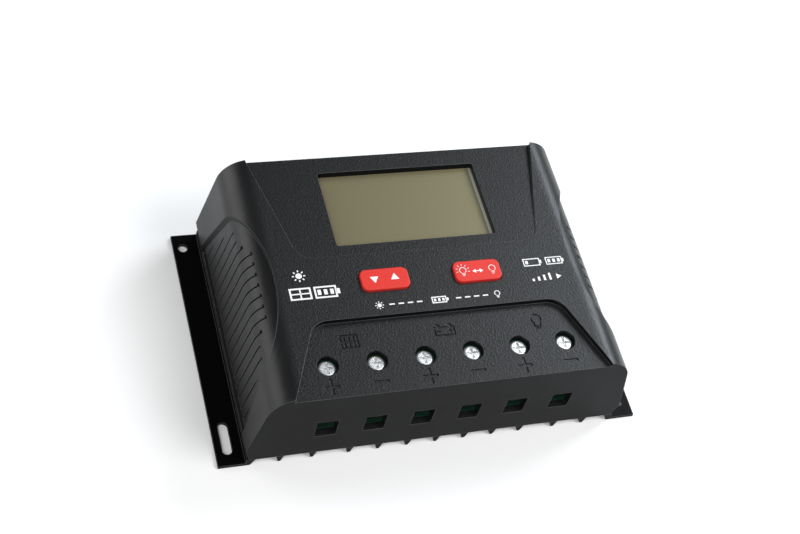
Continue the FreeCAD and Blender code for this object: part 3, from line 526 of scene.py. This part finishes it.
# The second group is a line along the front of the deck, in the same ink. Dashes run from a sun
# to a battery and on to a lamp, the way that the current goes.
dash = 2.4
dash_pitch = 4.0
flow_marks = sun(-26.0, 0.0, 0.9, 0.4) + battery(0.0, 0.0, 3.0, 1.35, 3, 0.5)
flow_marks += lamp(26.0, 0.5, 2.7, 0.13, False)
for first in (-21.8, 7.4):
    for k in range(4):
        x = first + dash_pitch * k
        flow_marks.append(stroke(x, 0.0, x + dash, 0.0, 0.6))
print_marks("flow_print", flow_marks, on_deck(1.3, 39.0), "controller")

# The third group, on the right, is two batteries, one low and one full, over a row of rising
# bars and an arrow. It stands for a charge that the controller judges by itself.
level_marks = battery(-5.4, 4.2, 3.6, 1.7, 1, 0.45) + battery(5.0, 4.2, 3.6, 1.7, 3, 0.45)
for k in range(4):
    x = -7.0 + 2.6 * k
    level_marks.append(stroke(x, -5.4, x, -4.2 + 0.75 * k, 1.0))
level_marks.append(triangle(4.6, -3.9, 1.5, 0.0))
print_marks("level_print", level_marks, on_deck(52.5, 49.0), "controller")

# Each of the six terminals has a steel screw with a cross recess, and a steel cage that rises on
# it. Both are zinc plated, and so are the small screws that hold the boards and transistors.
numbers = range(1, 7)
zinc_dull = (0.78, 0.79, 0.79)
zinc_bright = (0.93, 0.93, 0.93)
zinc = Finish("bright_zinc", zinc_dull, 0.3, metal=1.0)
plating = zinc.noise(0.5 * mm, detail=4.0, roughness=0.7)
zinc.roughness(zinc.span(plating, 0.3, 0.7, 0.34, 0.52))
zinc.colour(zinc.blend(zinc.span(plating, 0.35, 0.65, 0.0, 1.0), zinc_dull, zinc_bright))
zinc.relief(plating, 0.05 * mm, 0.2 * mm)
dress(zinc, *[f"terminal_screw_{number}" for number in numbers])
dress(zinc, *[f"clamp_cage_{number}" for number in numbers])
dress(zinc, "display_board_screws", "board_screws", "transistor_screws")

# The terminal modules are six green mouldings side by side, each open in front for a cable and on
# top for its screw. They sit in shadow behind the front wall, and painted shade darkens their green.
green = Finish("terminal_green", (0.012, 0.12, 0.055), 0.45)
green_cloud = green.noise(1.5 * mm)
# Painted shade: both greens are far darker than the moulding's own green.
green.colour(green.blend(green_cloud, (0.003, 0.026, 0.013), (0.005, 0.042, 0.021)))
green.relief(green.noise(0.15 * mm), 0.02 * mm, 0.2 * mm)
dress(green, *[f"terminal_module_{number}" for number in numbers])

# A bar leads from each terminal back to the main board. It is stamped from copper and tinned,
# which leaves it silvery and a little cloudy.
tinned = Finish("tinned_copper", (0.72, 0.70, 0.66), 0.35, metal=1.0)
tinned.roughness(tinned.span(tinned.noise(0.8 * mm), 0.3, 0.7, 0.25, 0.5))
dress(tinned, "contact_bars")

# Both boards are glass-epoxy with green solder resist, which is paler where copper lies under it.
# The main board stands on the base, and the display board hangs under the deck.
board = Finish("green_board", (0.01, 0.09, 0.03), 0.35)
over_copper = board.span(board.cells(3.0 * mm), 0.3, 0.5, 0.0, 1.0)
board.colour(board.blend(over_copper, (0.008, 0.07, 0.025), (0.02, 0.13, 0.05)))
board.relief(board.noise(0.3 * mm), 0.02 * mm)
dress(board, "display_board", "main_board")


# The transistors, diodes and chips are silicon in black moulded epoxy. They are closed in, as all
# the pieces below are, so each has only the mottle and the soft edges of its kind of surface.
def closed_in(name, colour, roughness, metal, mottle_size, *members):
    """Finish of a piece inside the case, a fifth darker where its mottle is darkest."""
    finish = Finish(name, colour, roughness, metal)
    mottle = finish.noise(mottle_size)
    finish.colour(finish.blend(mottle, tuple(c * 0.8 for c in colour), colour))
    finish.relief(mottle, 0.02 * mm, 0.1 * mm)
    dress(finish, *members)


closed_in("moulded_epoxy", (0.02, 0.02, 0.02), 0.5, 0.0, 0.25 * mm,
          "power_transistors", "surge_diodes", "microcontroller", "driver_chips")

# The header that joins the boards and the holders of the fuses are black plastic mouldings,
# soldered to the main board by their pins.
closed_in("header_black", (0.015, 0.015, 0.015), 0.45, 0.0, 0.3 * mm, "board_header", "fuse_holders")

# The four smoothing capacitors are aluminium cans, each in a shrunk sleeve of dark blue plastic.
# They are soldered to the main board by their two leads.
closed_in("can_sleeve", (0.02, 0.025, 0.05), 0.3, 0.0, 0.8 * mm, "smoothing_capacitors")

# The coil of the small supply has a core of pressed and fired ferrite, which is dark grey and
# matt, as a ceramic is. It is soldered to the main board.
closed_in("ferrite", (0.05, 0.05, 0.055), 0.65, 0.0, 0.3 * mm, "supply_coil")

# Four standoffs hold the main board above the base. They are turned from brass bar, left bare,
# and take the screws of the board in their tops.
closed_in("turned_brass", (0.65, 0.48, 0.2), 0.3, 1.0, 0.2 * mm, "board_standoffs")

# The blade fuses are clear amber mouldings with a stamped strip inside. They push into their
# holders and can be changed.
closed_in("fuse_amber", (0.7, 0.22, 0.02), 0.2, 0.0, 0.6 * mm, "blade_fuses")

# The current shunts are bent strips of bare copper alloy, whose small resistance lets the
# controller measure the current.
closed_in("shunt_alloy", (0.45, 0.33, 0.25), 0.4, 1.0, 0.4 * mm, "current_shunts")

# The temperature sensor is a small bead, dipped in blue resin, on two leads that are soldered to
# the main board.
closed_in("dipped_bead", (0.02, 0.06, 0.25), 0.25, 0.0, 0.5 * mm, "temperature_sensor")

# The pad between the transistors and the base is soft grey silicone. It keeps them insulated
# and lets their heat through.
closed_in("silicone_pad", (0.35, 0.35, 0.37), 0.8, 0.0, 0.5 * mm, "insulator_pad")

# The floor is a plain pale sheet just under the case, wide enough to fill every view. It has a
# matt surface with almost no gloss.
half_floor = 3.0
floor_mesh = bpy.data.meshes.new("floor")
floor_mesh.from_pydata(
    [(-half_floor, -half_floor, 0), (half_floor, -half_floor, 0),
     (half_floor, half_floor, 0), (-half_floor, half_floor, 0)],
    [], [(0, 1, 2, 3)])
floor = bpy.data.objects.new("floor", floor_mesh)
bpy.context.scene.collection.objects.link(floor)
floor.location.z = cad_low.z - 0.01 * mm
pale = Finish("pale_floor", (0.93, 0.93, 0.93), 0.9)
pale.shader.inputs["Specular IOR Level"].default_value = 0.1
pale.roughness(pale.span(pale.noise(4.0 * mm), 0.3, 0.7, 0.85, 0.95))
floor_mesh.materials.append(pale.material)

# The light is an even pale sky and four square soft lamps. The one behind on the right is small
# and cool and puts the sheen on the deck, and the other three fill in from round about.
sky = (0.96, 0.98, 1.0, 1.0)
world = bpy.data.worlds.new("studio")
bpy.context.scene.world = world
world.use_nodes = True
world.node_tree.nodes["Background"].inputs["Color"].default_value = sky
world.node_tree.nodes["Background"].inputs["Strength"].default_value = 0.15


def soft_lamp(name, place, size, power, colour):
    data = bpy.data.lights.new(name, "AREA")
    data.shape = "SQUARE"
    data.size = size
    data.energy = power
    data.color = colour
    made = bpy.data.objects.new(name, data)
    bpy.context.scene.collection.objects.link(made)
    made.location = place
    made.rotation_mode = "QUATERNION"
    made.rotation_quaternion = (aim - Vector(place)).to_track_quat("-Z", "Y")


cool_white = (0.88, 0.94, 1.0)
white = (1.0, 1.0, 1.0)
soft_lamp("lamp_right_back", (0.60, 0.31, 0.56), 0.4, 4.9, cool_white)
soft_lamp("lamp_over_left", (-0.7, -0.8, 1.25), 0.8, 14.0, white)
soft_lamp("lamp_front_right", (0.7, -0.5, 0.95), 0.7, 10.0, white)
soft_lamp("lamp_left_back", (-1.1, 0.8, 0.42), 0.9, 6.0, white)
bpy.context.scene.view_settings.view_transform = "Standard"
